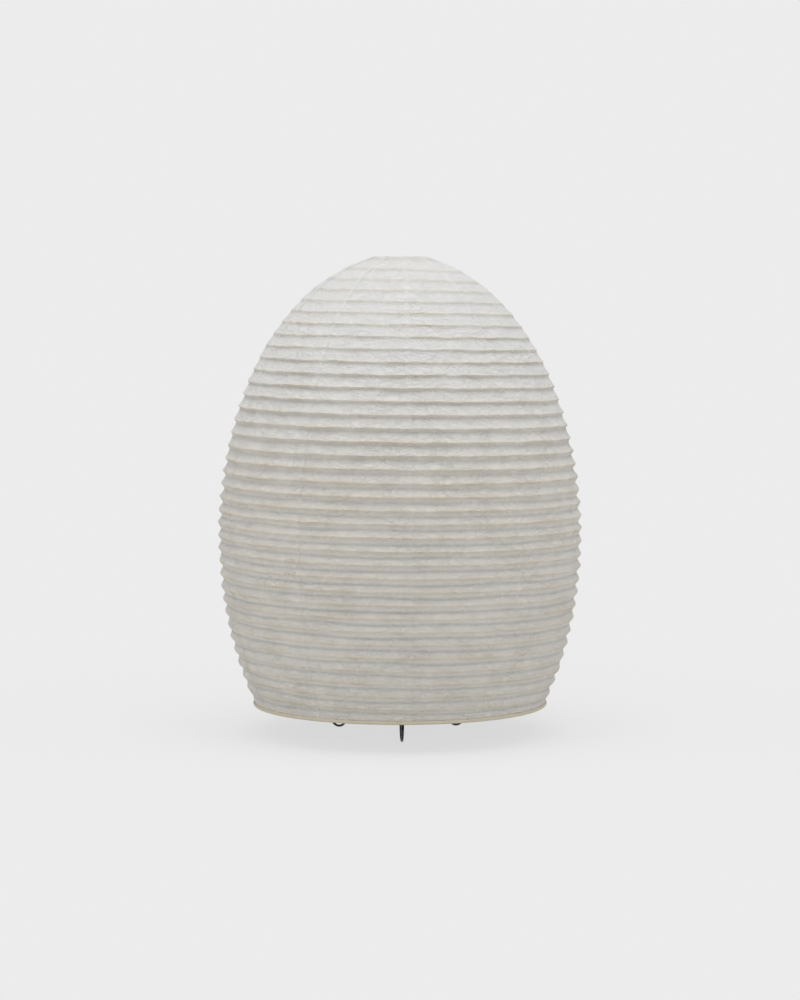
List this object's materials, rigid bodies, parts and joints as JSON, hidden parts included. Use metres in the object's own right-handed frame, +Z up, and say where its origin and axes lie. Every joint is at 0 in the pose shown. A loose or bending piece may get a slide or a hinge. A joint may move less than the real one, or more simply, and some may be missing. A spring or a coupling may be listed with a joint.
{
  "type": "paper lantern floor lamp",
  "caption": "Egg-shaped pleated paper lantern on a helical bamboo rib, hung on a black wire stretcher over three round wire feet.",
  "frame": {"origin": "on the floor under the lamp's axis", "axes": "+Z up, -Y to the front foot, +X to the viewer's right"},
  "size_m": [0.4579, 0.458, 0.6],
  "materials": {
    "black_wire": "gloss black lacquered steel wire",
    "black_plate": "black lacquered steel plate",
    "black_plastic": "moulded black phenolic plastic",
    "brass": "machined brass",
    "zinc_steel": "zinc plated steel",
    "porcelain": "white steatite",
    "cap_metal": "bright aluminium bulb cap",
    "black_glass": "black insulating glass",
    "bulb_glass": "frosted glass",
    "stem_glass": "clear glass stem",
    "filament_metal": "tungsten and nickel wire",
    "washi_paper": "unbleached handmade mulberry paper, pleated, slightly crumpled",
    "bamboo": "split bamboo",
    "wrapped_hoop": "steel wire wrapped in tan paper"
  },
  "bodies": {
    "frame": {"hub_plate": "black_plate", "leg_front": "black_wire", "leg_rear_right": "black_wire", "leg_rear_left": "black_wire", "stretcher_rod_left": "black_wire", "stretcher_rod_right": "black_wire", "stretcher_saddle": "black_plate", "cord_gland": "black_plastic", "nipple": "zinc_steel", "lock_nut": "zinc_steel", "holder_base": "black_plastic", "contact_block": "porcelain", "terminal_screws": "brass", "holder_body": "black_plastic", "screw_shell": "brass", "centre_contact": "brass"},
    "bulb_seat": {"bulb_tip_contact": "brass"},
    "bulb": {"bulb_insulator": "black_glass", "bulb_cap": "cap_metal", "bulb_glass": "bulb_glass", "bulb_stem": "stem_glass", "bulb_filament": "filament_metal"},
    "shade": {"top_hoop": "wrapped_hoop", "crossbar": "black_wire", "paper_panel_01": "washi_paper", "paper_panel_02": "washi_paper", "paper_panel_03": "washi_paper", "paper_panel_04": "washi_paper", "paper_panel_05": "washi_paper", "paper_panel_06": "washi_paper", "paper_panel_07": "washi_paper", "paper_panel_08": "washi_paper", "paper_panel_09": "washi_paper", "paper_panel_10": "washi_paper", "bamboo_rib": "bamboo"},
    "lower_hoop": {"bottom_hoop": "wrapped_hoop"}
  },
  "joints": [
    {"name": "shade_lift", "type": "slide", "parent": "frame", "child": "shade", "axis": [0, 0, 1], "range_m": [0, 0.62]},
    {"name": "shade_fold", "type": "slide", "parent": "shade", "child": "lower_hoop", "axis": [0, 0, 1], "range_m": [0, 0.465], "deforming": ["paper_panel_01", "paper_panel_02", "paper_panel_03", "paper_panel_04", "paper_panel_05", "paper_panel_06", "paper_panel_07", "paper_panel_08", "paper_panel_09", "paper_panel_10", "bamboo_rib"]},
    {"name": "bulb_advance", "type": "slide", "parent": "frame", "child": "bulb_seat", "axis": [0, 0, 1], "range_m": [0, 0.0182]},
    {"name": "bulb_unscrew", "type": "hinge", "parent": "bulb_seat", "child": "bulb", "pos_m": [0, 0, 0.0515], "axis": [0, 0, 1], "range_deg": [0, 1800]}
  ],
  "couplings": [
    {"joint": "bulb_advance", "follows": "bulb_unscrew", "m_per_rad": 0.0005775}
  ]
}
